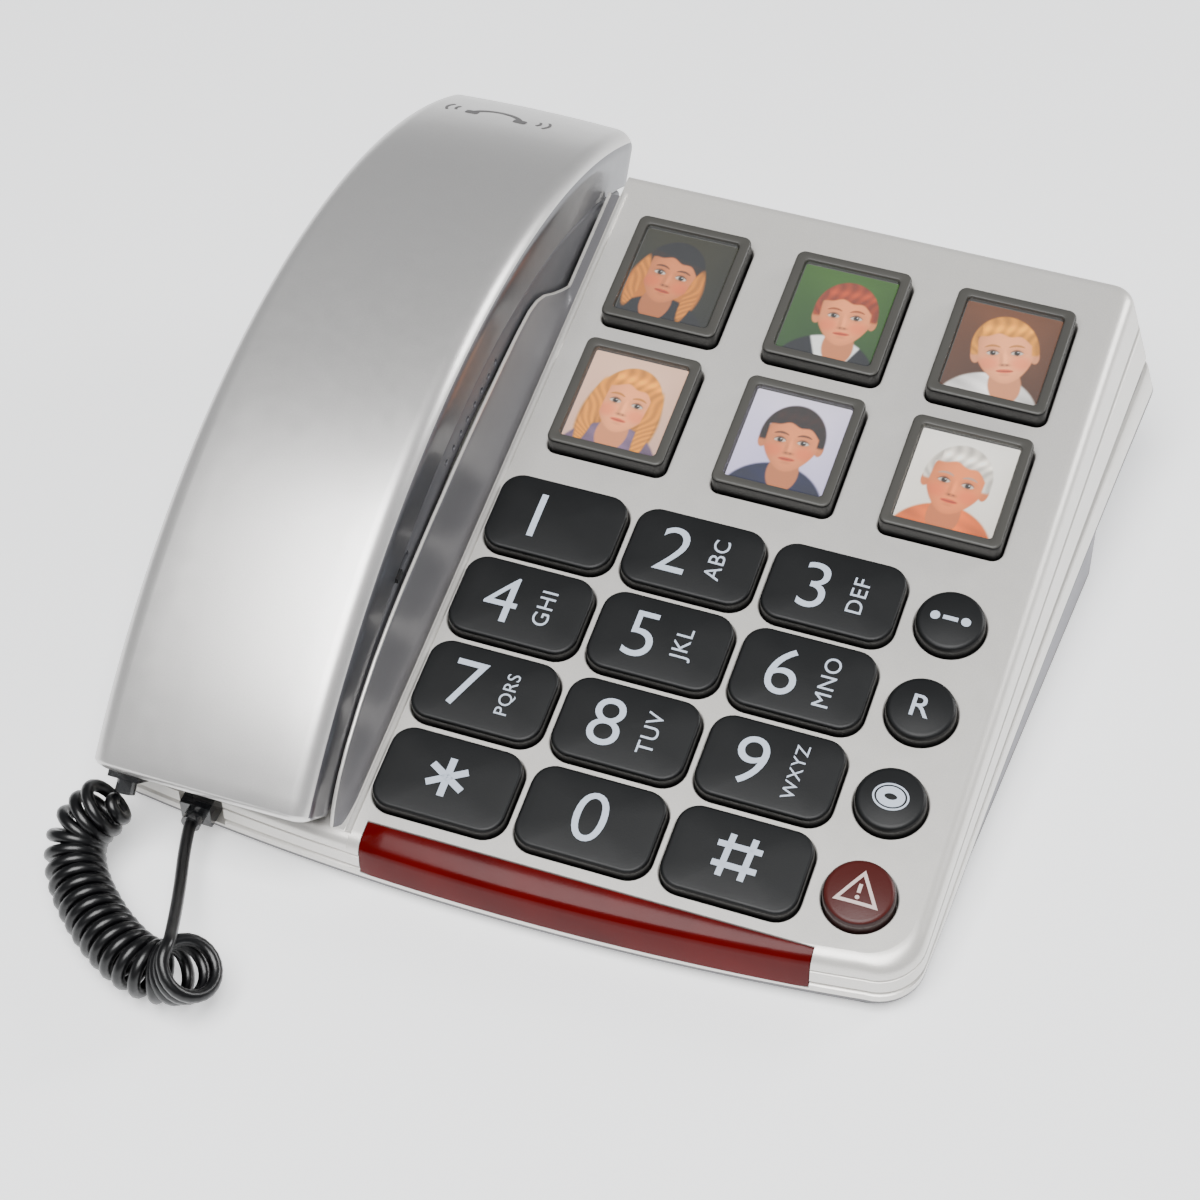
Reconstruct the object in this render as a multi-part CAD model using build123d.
from build123d import *
import math
import os

# Corded desk telephone with large keys and six picture keys.
# Millimetres. +Z is up, -Y is the front that the user faces, +X is the user's right.
# The origin is under the middle of the phone's bounding box, on the surface it stands on.

# ---------------------------------------------------------------- driving dimensions
BODY_HALF_X = 103.0
FRONT_Y = -102.0           # front edge of the sloping key panel
FRONT_TOP_Z = 15.4         # height of that edge
FACE_TILT = 12.0           # slope of the key panel
CRADLE_TILT = 7.6          # slope of the handset's side of the base
FORM_FRONT_Y = -108.0      # the raw form runs past the bowed front
FORM_BACK_Y = 95.5
BELLY_FRONT_Z = 3.0        # underside of the upper housing at the front
BELLY_TILT = 7.0           # the underside rises towards the back
PANEL_LEFT_X = -39.5
PANEL_RIGHT_X = 93.8
RIGHT_TAPER = 8.5          # the base is this much narrower at its front right
FLARE_FRONT, FLARE_BACK = 0.06, 0.32    # lean of the right side, across per height
FRONT_CORNER, BACK_CORNER = 11.0, 5.0
WALL = 2.2
GAP = 0.3                  # running clearance round keys and sliders

FOOT_H = 1.0
STAND_BACK_Y = 50.5        # the lower wedge ends here and the back overhangs
STAND_HALF_X = 97.5
STAND_INSET = 1.5          # the lower wedge's set-back from the base's outline

KEY_W, KEY_D = 32.2, 21.5
KEY_PITCH_X, KEY_PITCH_V = 34.7, 24.4
KEY_TOP = 3.0
KEY_COLUMN_X = 14.0        # middle column
KEY_GRID_V = 56.0          # middle of the four rows, up the panel from its front edge
ROUND_X = 77.0
ROUND_R = 8.2
ROUND_TOP = 3.4
PICTURE_W, PICTURE_D = 29.9, 32.8
PICTURE_TOP = 4.6
PICTURE_X = (-15.9, 26.1, 68.0)
PICTURE_V = (129.8, 169.8)
BEZEL = 2.7
FLANGE = 1.2               # lip under the panel that keeps a key in
BOARD_TOP = -8.4           # circuit board's upper face, from the panel's face
BOARD_T = 1.6
MAT_T = 0.8
DOME_LIFT = 0.35           # middle of a rubber dome above the mat; its top clears a pressed key

LIGHT_X0, LIGHT_X1 = -35.0, 71.0
LIGHT_V = 5.0              # how far the red light bar reaches up the panel

HANDSET_X = -70.5
RIM_LEFT_X = -43.2         # clear of the handset's side
HANDSET_W = 54.0
HANDSET_R = 178.5          # radius of the arched back
HANDSET_RISE = 39.0        # height of the arch above its chord
HANDSET_Z = 43.0           # middle of the chord
HANDSET_HALF = 112.5
SHELL_H = 14.0             # depth of the upper shell's side wall
BLOCK_H = -13.7            # underside of the ear and mouth blocks, from the chord
ARCH_CENTRE = HANDSET_RISE - HANDSET_R
SOCKET_X = -19.5           # curly cord's socket, from the handset's middle
SOCKET_R = HANDSET_R - 7.4
SLIDER_S, SLIDER_H = -50.0, 15.6
HANDSET_SCREWS = (-32.0, 32.0)
UNDER_SCREW_H = 11.6       # seat of a screw head in the underside of the grip

JACK_X = -76.0
JACK_Z = 9.4
CORD_D = 3.2
COIL_D = 14.5

SLOPE = math.tan(math.radians(FACE_TILT))
CRADLE_SLOPE = math.tan(math.radians(CRADLE_TILT))
BELLY_SLOPE = math.tan(math.radians(BELLY_TILT))

face = Plane(
    origin=(0, FRONT_Y, FRONT_TOP_Z),
    x_dir=(1, 0, 0),
    z_dir=(0, -math.sin(math.radians(FACE_TILT)), math.cos(math.radians(FACE_TILT))),
)
grip = Plane(
    origin=(HANDSET_X, 0, HANDSET_Z),
    x_dir=(1, 0, 0),
    z_dir=(0, -math.sin(math.radians(CRADLE_TILT)), math.cos(math.radians(CRADLE_TILT))),
)
nodes = {}


# ---------------------------------------------------------------- helpers
def panel_z(y):
    return FRONT_TOP_Z + (y - FRONT_Y) * SLOPE


def cradle_z(y):
    return FRONT_TOP_Z + (y - FRONT_Y) * CRADLE_SLOPE


def belly_z(y):
    return BELLY_FRONT_Z + (y - FRONT_Y) * BELLY_SLOPE


def prism_x(points, x0, x1):
    """A side outline, given as (y, z), run from x0 to x1."""
    outline = Plane.YZ.offset(x0) * make_face(Polyline(*points, close=True))
    return extrude(outline, amount=x1 - x0, dir=(1, 0, 0))


def block(x0, x1, y0, y1, z0, z1):
    size = (x1 - x0, y1 - y0, z1 - z0)
    return Pos((x0 + x1) / 2, (y0 + y1) / 2, (z0 + z1) / 2) * Box(*size)


def on_face(shape, x, v, w=0.0):
    """Stand a shape on the sloping panel at x, v up the slope and w above it."""
    return face.location * Pos(x, v, w) * shape


def slab(width, depth, low, high, radius):
    """A plate with rounded corners between two heights."""
    return Pos(0, 0, low) * extrude(RectangleRounded(width, depth, radius), amount=high - low)


def disc(radius, low, high):
    return Pos(0, 0, (low + high) / 2) * Cylinder(radius, high - low)


# ---------------------------------------------------------------- base housings
def plan(inset, low, high):
    """The base seen from above: bowed front, rounded corners, wider at the back right."""
    left, right = -BODY_HALF_X + inset, BODY_HALF_X - inset
    narrow = right - RIGHT_TAPER
    front = FRONT_Y + 3.5 + inset
    bow = FRONT_Y - 2.1 + inset
    back = FORM_BACK_Y - inset
    f, b = FRONT_CORNER, BACK_CORNER
    fm, bm = f * (1 - math.sqrt(0.5)), b * (1 - math.sqrt(0.5))
    edges = [
        ThreePointArc((left + f, front), (-4.0, bow), (narrow - f, front)),
        ThreePointArc((narrow - f, front), (narrow - fm, front + fm), (narrow, front + f)),
        Line((narrow, front + f), (right, back - b)),
        ThreePointArc((right, back - b), (right - bm, back - bm), (right - b, back)),
        Line((right - b, back), (left + b, back)),
        ThreePointArc((left + b, back), (left + bm, back - bm), (left, back - b)),
        Line((left, back - b), (left, front + f)),
        ThreePointArc((left, front + f), (left + fm, front + fm), (left + f, front)),
    ]
    return Pos(0, 0, low) * extrude(make_face(Curve() + edges), amount=high - low)


def section(y, inset, drop):
    """Cross-section of the base's raw form at y: sloping sides, flat top."""
    low = belly_z(y) - drop
    high = panel_z(y) - inset
    share = (y - FORM_FRONT_Y) / (FORM_BACK_Y - FORM_FRONT_Y)
    lean = FLARE_FRONT + (FLARE_BACK - FLARE_FRONT) * share
    flare = lean * (high + inset - belly_z(y))
    left = -BODY_HALF_X + inset
    right = PANEL_RIGHT_X - inset
    points = [(left, low), (right + flare, low), (right, high), (left + 2.0, high)]
    plane = Plane(origin=(0, y, 0), x_dir=(1, 0, 0), z_dir=(0, -1, 0))
    return plane * make_face(Polyline(*points, close=True))


def saddle(inset):
    """The raised back under the handset's arch."""
    top = [(-54.0, 0.0), (-46.0, 12.0), (-24.0, 20.5), (4.0, 23.0), (30.0, 18.0), (42.0, 0.0)]
    outline = [(y, cradle_z(y) + h - inset) for y, h in top]
    outline += [(42.0 - inset, cradle_z(42.0) - 4), (-54.0 + inset, cradle_z(-54.0) - 4)]
    return prism_x(outline, HANDSET_X - 25.0 + inset, RIM_LEFT_X + 0.5)


def rim():
    """The thin wall beside the handset, with an arched top edge and a sloping outer face."""
    top = [(-100.0, -13.0), (-97.0, -6.0), (-89.0, 0.0), (-71.0, 8.5), (-53.0, 12.0), (-20.0, 15.5), (12.0, 16.8),
           (30.0, 16.2), (38.0, 12.5), (46.0, 6.5), (54.0, 0.6), (60.0, -3.5)]
    outline = [(s, HANDSET_Z + s * CRADLE_SLOPE + h) for s, h in top]
    outline += [(62.0, cradle_z(62.0) - 3), (-100.0, cradle_z(-100.0) - 3)]
    along = prism_x(outline, RIM_LEFT_X, PANEL_LEFT_X + 2)
    across = make_face(Polyline(
        (RIM_LEFT_X, -30), (PANEL_LEFT_X + 0.5, -30), (PANEL_LEFT_X + 0.5, 0), (PANEL_LEFT_X - 1.6, 12),
        (RIM_LEFT_X + 0.9, 60), (RIM_LEFT_X, 60), close=True))
    upright = Plane(origin=face.origin - 10 * face.y_dir, x_dir=(1, 0, 0), z_dir=-face.y_dir)
    return along & extrude(upright * across, amount=170, dir=tuple(face.y_dir))


def upper_form(inset=0.0, drop=0.0):
    """Outer form of the upper housing, or its hollow when inset."""
    ends = [section(FORM_FRONT_Y, inset, drop), section(FORM_BACK_Y, inset, drop)]
    form = loft(ends, ruled=True) & plan(inset, -10, 90)
    cut = prism_x(
        [(-120, cradle_z(-120) - inset), (120, cradle_z(120) - inset), (120, 90), (-120, 90)],
        -BODY_HALF_X - 1, PANEL_LEFT_X - inset)
    form = form - cut + saddle(inset)
    return form + rim() if inset == 0 else form


def light_zone(grow):
    """The stretch of the front top edge that the alert light takes up."""
    back = FRONT_Y + LIGHT_V
    return block(LIGHT_X0 - grow, LIGHT_X1 + grow, -115, back + grow, 5.4 - grow, 40)


def key_places():
    """Name, x, v of the twelve number keys."""
    rows = (("1", "2", "3"), ("4", "5", "6"), ("7", "8", "9"), ("star", "0", "hash"))
    for row, names in enumerate(rows):
        for column, name in enumerate(names):
            x = KEY_COLUMN_X + (column - 1) * KEY_PITCH_X
            v = KEY_GRID_V + (1.5 - row) * KEY_PITCH_V
            yield name, x, v


def round_places():
    """Name, v of the four round buttons, from the back."""
    for row, name in enumerate(("redial", "recall", "memory", "alert")):
        yield name, KEY_GRID_V + (1.5 - row) * KEY_PITCH_V


def picture_places():
    """Number, x, v of the six picture keys."""
    spots = [(x, v) for v in reversed(PICTURE_V) for x in PICTURE_X]
    for number, (x, v) in enumerate(spots, start=1):
        yield number, x, v


def apertures():
    cuts = []
    for _, x, v in key_places():
        cuts.append(on_face(slab(KEY_W + 2 * GAP, KEY_D + 2 * GAP, -6, 4, 5.6), x, v))
    for _, v in round_places():
        cuts.append(on_face(disc(ROUND_R + GAP, -6, 4), ROUND_X, v))
    for _, x, v in picture_places():
        cuts.append(on_face(slab(PICTURE_W + 2 * GAP, PICTURE_D + 2 * GAP, -6, 4, 2.3), x, v))
    return cuts


SCREW_SPOTS = [(-92, -86), (86.5, -71.1), (-91, 49), (90, 44.5)]
HOOK_SPOT = (HANDSET_X, -20.0)
EAR, MOUTH = 80.0, -80.0    # middles of the two blocks, along the chord
PAD_R = 14.0


def base_parts():
    housing = upper_form() - upper_form(WALL, drop=5.0)
    housing -= apertures()
    housing -= light_zone(0.0)
    # handset rests: a round pad in front, a deeper cup at the back
    for s in (MOUTH, EAR):
        housing -= grip.location * Pos(0, s, BLOCK_H) * disc(PAD_R + 1.5, -1.5, 4)
    # ways through the walls: hook plunger, slider slot, two jacks, ringer sound holes
    hook_x, hook_y = HOOK_SPOT
    housing -= block(hook_x - 4.3, hook_x + 4.3, hook_y - 5.3, hook_y + 5.3, 20, 75)
    housing -= block(JACK_X - 5.9, JACK_X + 5.9, -116, -96, JACK_Z - 4.3, JACK_Z + 4.3)
    housing -= block(34, 46, 90, 112, 34.4, 43.6)
    for x, y in SCREW_SPOTS:
        top = (cradle_z(y) if x < 0 else panel_z(y)) - WALL + 0.2
        boss = Pos(x, y, 0) * (disc(3.4, belly_z(y) + 2.6, top) - disc(1.25, 0, top - 2))
        housing += boss
    nodes["base_upper_housing"] = housing

    plate = prism_x(
        [(-120, belly_z(-120) - 0.3), (120, belly_z(120) - 0.3),
         (120, belly_z(120) + 2.1), (-120, belly_z(-120) + 2.1)], -110, 110)
    plate &= loft([section(FORM_FRONT_Y, WALL + GAP, 9), section(FORM_BACK_Y, WALL + GAP, 9)], ruled=True)
    plate &= plan(WALL + GAP, -10, 90)
    wedge = prism_x(
        [(-110, FOOT_H), (STAND_BACK_Y, FOOT_H), (STAND_BACK_Y, belly_z(STAND_BACK_Y) - 0.2),
         (-110, belly_z(-110) - 0.2)], -STAND_HALF_X, BODY_HALF_X)
    hollow = prism_x(
        [(-92, FOOT_H + 2), (STAND_BACK_Y - 2, FOOT_H + 2), (STAND_BACK_Y - 2, 40), (-92, 40)],
        -STAND_HALF_X + 2, BODY_HALF_X) & plan(STAND_INSET + 2, -10, 90)
    tray = wedge & plan(STAND_INSET, -10, 90)
    tray -= hollow & prism_x([(-120, 0), (120, 0), (120, belly_z(120) - 1.6), (-120, belly_z(-120) - 1.6)],
                             -110, 110)
    tray += plate
    for x, y in SCREW_SPOTS:
        tray -= Pos(x, y, 0) * disc(1.7, -1, 40)
        tray -= Pos(x, y, 0) * disc(3.4, -1, belly_z(y) - 0.5)
    tray -= block(JACK_X - 6.2, JACK_X + 6.2, -112, -83.6, JACK_Z - 4.6, 20)
    nodes["base_lower_housing"] = tray

    screw = disc(1.2, 0, 8) + disc(2.7, -1.6, 0)
    nodes["housing_screws"] = Compound(
        [Pos(x, y, belly_z(y) - 0.6) * screw for x, y in SCREW_SPOTS])
    feet = [(x, y) for x in (-80, 80) for y in (-84, 40)]
    nodes["rubber_feet"] = Compound([Pos(x, y, 0) * disc(6.5, 0, FOOT_H) for x, y in feet])

    light = (upper_form() - upper_form(WALL)) & light_zone(-0.15)
    nodes["alert_light_lens"] = light


def board_parts():
    board = on_face(slab(110, 168, BOARD_TOP - BOARD_T, BOARD_TOP, 1.5), 26, 97)
    spots = [(-24, 100), (77, 106), (-24, 150), (77, 150)]
    for x, v in spots:
        board -= on_face(disc(1.4, -14, 0), x, v)
    nodes["main_circuit_board"] = board
    nodes["board_screws"] = Compound([
        on_face(disc(1.3, BOARD_TOP - 6, BOARD_TOP) + disc(2.4, BOARD_TOP, BOARD_TOP + 1.4), x, v)
        for x, v in spots])

    low = BOARD_TOP
    mat = on_face(slab(105, 168, low, low + MAT_T, 3), 28, 97.0)
    for _, x, v in key_places():
        mat += on_face(Pos(0, 0, low + MAT_T) * Cone(5.0, 3.6, 1.2), x, v, DOME_LIFT)
    for _, v in round_places():
        mat += on_face(Pos(0, 0, low + MAT_T) * Cone(4.0, 3.0, 1.2), ROUND_X, v, DOME_LIFT)
    for _, x, v in picture_places():
        mat += on_face(Pos(0, 0, low + MAT_T) * Cone(5.0, 3.6, 1.2), x, v, DOME_LIFT)
    for x, v in spots:
        mat -= on_face(disc(3.0, -14, 0), x, v)
    nodes["keypad_mat"] = mat

    # light-emitting diodes on a strip behind the alert light
    strip = block(-30, 60, -98.0, -97.0, 6.6, 11.4)
    for i in range(6):
        strip += Pos(-22 + i * 15, -98.6, 9.0) * Rot(90, 0, 0) * Cylinder(1.5, 1.4)
    nodes["alert_light_leds"] = strip

    # the ringer hangs under the cradle, between the saddle and the ear rest
    ringer = disc(11, -3.4, 0) + disc(7, -6.0, -3.4)
    nodes["ringer_speaker"] = grip.location * Pos(0, 53, BLOCK_H - WALL - 0.6) * ringer


# ---------------------------------------------------------------- keys
def key_cap(width, depth, top, radius):
    """A rounded cap with a lip under the panel and a hollow underneath."""
    cap = slab(width, depth, -4.0, top, radius)
    cap = fillet(cap.faces().sort_by(Axis.Z)[-1].edges(), 0.9)
    cap += slab(width + 2 * FLANGE, depth + 2 * FLANGE, -4.0, -WALL - 0.2, radius + 0.6)
    cap -= slab(width - 4, depth - 4, -4.1, top - 2.6, radius - 1.6)
    cap += disc(2.2, -5.1, top - 2.4)
    return cap


def keys():
    for name, x, v in key_places():
        nodes[f"key_{name}"] = on_face(key_cap(KEY_W, KEY_D, KEY_TOP, 5.3), x, v)
    for name, v in round_places():
        cap = disc(ROUND_R, -4.0, ROUND_TOP)
        cap = fillet(cap.faces().sort_by(Axis.Z)[-1].edges(), 1.4)
        cap += disc(ROUND_R + FLANGE, -4.0, -WALL - 0.2)
        cap -= disc(ROUND_R - 2.2, -4.1, ROUND_TOP - 2.6)
        cap += disc(1.9, -5.1, ROUND_TOP - 2.4)
        nodes[f"button_{name}"] = on_face(cap, ROUND_X, v)
    window_w = PICTURE_W - 2 * BEZEL
    window_d = PICTURE_D - 2 * BEZEL
    for number, x, v in picture_places():
        cap = slab(PICTURE_W, PICTURE_D, -4.0, PICTURE_TOP, 2.0)
        cap = fillet(cap.faces().sort_by(Axis.Z)[-1].edges(), 0.7)
        cap += slab(PICTURE_W + 2 * FLANGE, PICTURE_D + 2 * FLANGE, -4.0, -WALL - 0.2, 2.6)
        cap -= slab(PICTURE_W - 4, PICTURE_D - 4, -4.1, PICTURE_TOP - 3.6, 1.2)
        cap -= slab(window_w, window_d, PICTURE_TOP - 1.7, PICTURE_TOP + 1, 1.2)
        cap += disc(2.2, -5.1, PICTURE_TOP - 3.4)
        nodes[f"picture_key_{number}"] = on_face(cap, x, v)
        cover = slab(window_w - 0.2, window_d - 0.2, PICTURE_TOP - 1.4, PICTURE_TOP - 0.2, 1.1)
        nodes[f"picture_cover_{number}"] = on_face(cover, x, v)


# ---------------------------------------------------------------- handset
def arch_h(radius, s):
    """Height above the chord of a circle about the arch's centre."""
    return ARCH_CENTRE + math.sqrt(radius ** 2 - s ** 2)


def arc_ring(outer, inner, half, width):
    """A length of curved bar: the handset's arch, radii from the arch's own centre."""
    centre = ARCH_CENTRE
    ring = Pos(0, 0, centre) * Rot(0, 90, 0) * (Cylinder(outer, width) - Cylinder(inner, width + 2))
    angle = math.degrees(math.asin(half / HANDSET_R))
    reach = HANDSET_R + 40
    lean = math.radians(angle)
    wedge = prism_x(
        [(0, centre), (-reach * math.sin(lean), centre + reach * math.cos(lean)),
         (0, centre + reach * 1.4), (reach * math.sin(lean), centre + reach * math.cos(lean))],
        -width, width)
    return ring & wedge


def handset_low_form(inset):
    """Lower shell from the side: mouth block, arched grip and ear block."""
    bottom = BLOCK_H + inset
    half = 99.0 - inset
    foot = 57.0 + inset
    with BuildSketch(Plane.YZ.offset(-(HANDSET_W - 0.6) / 2 + inset)) as outline:
        with BuildLine():
            Polyline((-half, 30), (-half, bottom + 2), (-half + 2, bottom), (-foot - 2, bottom), (-foot + 4, inset))
            ThreePointArc((-foot + 4, inset), (0, 15.0 + inset), (foot - 4, inset))
            Polyline((foot - 4, inset), (foot + 2, bottom), (half - 2, bottom), (half, bottom + 2), (half, 30),
                     (-half, 30))
        make_face()
    body = extrude(outline.sketch, amount=HANDSET_W - 0.6 - 2 * inset, dir=(1, 0, 0))
    return body & (Pos(0, 0, ARCH_CENTRE) * Rot(0, 90, 0) * Cylinder(HANDSET_R - SHELL_H - 0.2, HANDSET_W + 4))


def at_arch_end(shape):
    """Place a shape whose Z is its radius on the arch and whose -Y points out of the mouth end."""
    lean = math.degrees(math.asin(HANDSET_HALF / HANDSET_R))
    return grip.location * Pos(SOCKET_X, 0, ARCH_CENTRE) * Rot(lean, 0, 0) * shape


def handset_parts():
    width = HANDSET_W
    upper = arc_ring(HANDSET_R, HANDSET_R - SHELL_H, HANDSET_HALF, width)
    edges = [e for e in upper.edges() if e.length > 150 and e.center().Z > 22]
    upper = fillet(edges, 5.0)
    upper -= arc_ring(HANDSET_R - WALL, HANDSET_R - SHELL_H - 1, HANDSET_HALF - 3.0, width - 2 * WALL)
    lower = handset_low_form(0.0) - handset_low_form(WALL)
    for s in (MOUTH, EAR):
        lower += Pos(0, s, BLOCK_H) * (disc(PAD_R, -0.9, 0.2) - disc(PAD_R - 2, -2, 2))
        for i in range(6):
            lower -= Pos(0, s, BLOCK_H) * Rot(0, 0, 60 * i) * Pos(5.5, 0, 0) * Cylinder(1.0, 12)
        lower -= Pos(0, s, BLOCK_H) * Cylinder(1.0, 12)
    # volume slot and a row of small grip dimples, on the side towards the keys
    side = (HANDSET_W - 0.6) / 2
    lower -= block(side - WALL - 1, side + 1, SLIDER_S - 5.0, SLIDER_S + 5.0, SLIDER_H - 1.0, SLIDER_H + 1.0)
    for i in range(8):
        lower -= Pos(side, -20 + 4.6 * i, 18.6) * Rot(0, 90, 0) * Cylinder(0.8, 1.6)
    for s in HANDSET_SCREWS:
        level = arch_h(HANDSET_R - SHELL_H, s)
        lower -= Pos(0, s, 0) * (disc(1.5, 0, 40) + disc(2.6, 0, UNDER_SCREW_H))
        upper += Pos(0, s, 0) * (disc(2.8, level - 4, level + SHELL_H - 1) - disc(1.15, 0, level + 8))
    upper = grip.location * upper
    upper -= at_arch_end(block(-4.9, 4.9, -2, 4.2, SOCKET_R - 4.0, SOCKET_R + 4.0))
    nodes["handset_upper_shell"] = upper
    nodes["handset_lower_shell"] = grip.location * lower

    seat = BLOCK_H + WALL + 0.1
    nodes["earpiece_speaker"] = grip.location * Pos(0, EAR, seat) * (disc(12, 0, 4.2) + disc(7, 4.2, 7))
    nodes["microphone_capsule"] = grip.location * Pos(0, MOUTH, seat) * disc(4.8, 0, 5.5)
    nodes["handset_weight"] = grip.location * block(-11, 11, -13, 13, 17.6, 24.0)
    jack = block(-5.1, 5.1, 4.2, 15.4, SOCKET_R - 4.2, SOCKET_R + 4.2)
    nodes["handset_jack"] = at_arch_end(jack - block(-4.0, 4.0, 0, 13.6, SOCKET_R - 3.4, SOCKET_R + 3.4))
    screw = disc(1.1, 0, 18) + disc(2.3, -1.4, 0)
    nodes["handset_screws"] = grip.location * Compound(
        [Pos(0, s, UNDER_SCREW_H - 0.1) * screw for s in HANDSET_SCREWS])
    knob = block(side - WALL - 0.6, side + 0.9, SLIDER_S - 3.6, SLIDER_S - 0.6, SLIDER_H - 0.8, SLIDER_H + 0.8)
    nodes["volume_slider"] = grip.location * knob


# ---------------------------------------------------------------- hook, slider, jacks
def small_mechanism():
    x, y = HOOK_SPOT
    top = HANDSET_Z + y * CRADLE_SLOPE + 10.9
    plunger = block(x - 4, x + 4, y - 5, y + 5, top - 24, top)
    plunger = fillet(plunger.faces().sort_by(Axis.Z)[-1].edges(), 1.0)
    nodes["hook_plunger"] = plunger
    nodes["hook_switch"] = block(x - 8, x + 8, y - 7, y + 7, belly_z(y + 7) + 2.4, top - 24.4)

    jack = block(JACK_X - 5.7, JACK_X + 5.7, -97.2, -84, JACK_Z - 4.1, JACK_Z + 4.1)
    jack -= block(JACK_X - 4.0, JACK_X + 4.0, -110, -86, JACK_Z - 3.5, JACK_Z + 3.5)
    nodes["base_handset_jack"] = jack
    line = block(34.2, 45.8, 80, 93.0, 34.6, 43.4)
    line -= block(36.6, 43.4, 82, 110, 35.4, 42.6)
    nodes["line_jack"] = line


# ---------------------------------------------------------------- cords
COIL_ROUTE = [
    (-91.5, -111.5, 18.0), (-97.2, -117.0, 12.6), (-94.8, -125.0, 8.2), (-87.5, -133.0, 7.6), (-77.0, -141.0, 7.6),
    (-66.5, -145.6, 8.2), (-57.0, -141.5, 11.0),
]
TAIL_ROUTE = [
    (-60.2, -135.6, 11.2), (-63.6, -129.8, 8.6), (-68.6, -121.6, 6.2), (-73.4, -113.4, 7.0), (-76.0, -106.6, JACK_Z),
]


def tube(route, diameter):
    """Straight runs joined by tangent arcs as large as their two runs allow."""
    points = [Vector(*p) for p in route]
    radii = []
    for before, corner, after in zip(points, points[1:], points[2:]):
        turn = math.radians((corner - before).get_angle(after - corner))
        shorter = min((corner - before).length, (after - corner).length)
        radii.append(0.45 * shorter / math.tan(turn / 2))
    path = FilletPolyline(*points, radius=radii)
    start = Plane(origin=path @ 0, z_dir=path % 0)
    body = sweep(start * Circle(diameter / 2), path=path)
    expected = math.pi * diameter ** 2 / 4 * path.length
    print(f"cord {diameter} mm: length {path.length:.1f}, radii {[round(r, 1) for r in radii]}, "
          f"volume {body.volume:.0f} of {expected:.0f}")
    return body


def plug(length, relief):
    """A small modular plug with its strain relief, pointing along +Z."""
    return extrude(Rectangle(7.6, 6.4), amount=length) + disc(2.4, length, length + relief)


def cords():
    nodes["curly_cord"] = tube(COIL_ROUTE, COIL_D)
    nodes["cord_tail"] = tube(TAIL_ROUTE, CORD_D)
    nodes["handset_plug"] = at_arch_end(Pos(0, 12.8, SOCKET_R) * Rot(90, 0, 0) * plug(14.4, 3.4))
    nodes["base_plug"] = Pos(JACK_X, -88.6, JACK_Z) * Rot(90, 0, 0) * plug(14.8, 3.0)


base_parts()
board_parts()
keys()
handset_parts()
small_mechanism()
cords()

os.makedirs("parts", exist_ok=True)
for node, shape in nodes.items():
    export_step(shape, f"parts/{node}.step")
print(len(nodes), "nodes")
